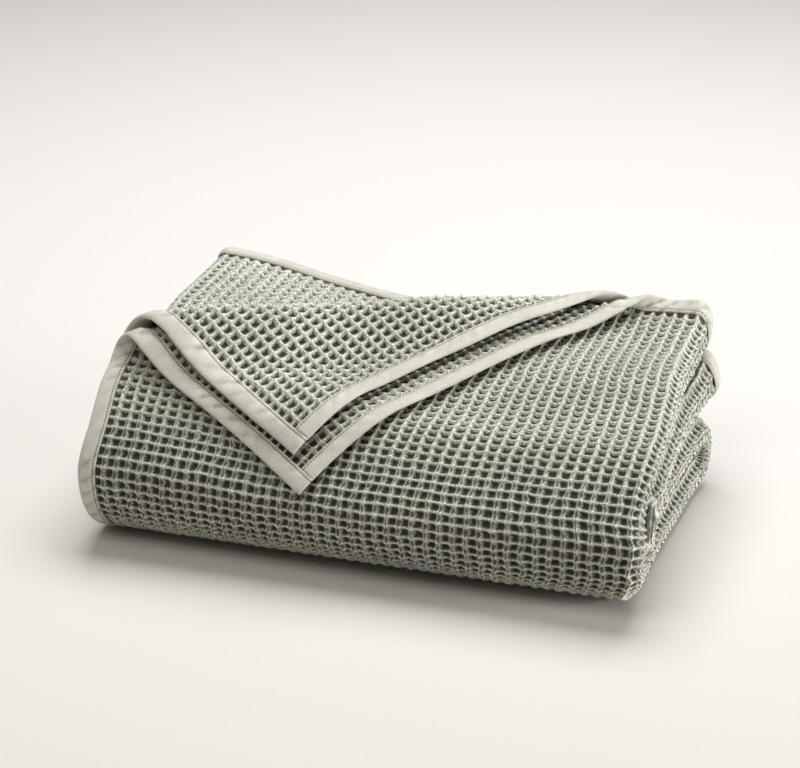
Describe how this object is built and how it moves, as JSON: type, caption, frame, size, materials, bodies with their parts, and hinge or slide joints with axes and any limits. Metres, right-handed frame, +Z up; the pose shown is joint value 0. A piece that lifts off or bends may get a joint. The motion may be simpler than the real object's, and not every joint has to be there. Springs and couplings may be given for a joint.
{
  "type": "folded waffle weave cotton blanket",
  "caption": "Waffle weave cotton blanket with plain bound edges, folded into a flat pile with one top corner turned back over the front.",
  "frame": {"origin": "on the surface it rests on, under the middle of its bounding box", "axes": "+X along the front fold to its right end, +Y to the back, +Z up"},
  "size_m": [0.4799, 0.3492, 0.1743],
  "materials": {
    "waffle_cloth": "matt honeycomb weave in sage green cotton",
    "binding_side_outer": "matt plain woven cotton strip, paler sage",
    "binding_side_inner": "matt plain woven cotton strip, paler sage",
    "binding_end_outer": "matt plain woven cotton strip, paler sage",
    "binding_end_inner": "matt plain woven cotton strip, paler sage"
  },
  "bodies": {
    "root": {"waffle_cloth": "waffle_cloth", "binding_side_outer": "binding_side_outer", "binding_side_inner": "binding_side_inner", "binding_end_outer": "binding_end_outer", "binding_end_inner": "binding_end_inner"}
  },
  "joints": []
}
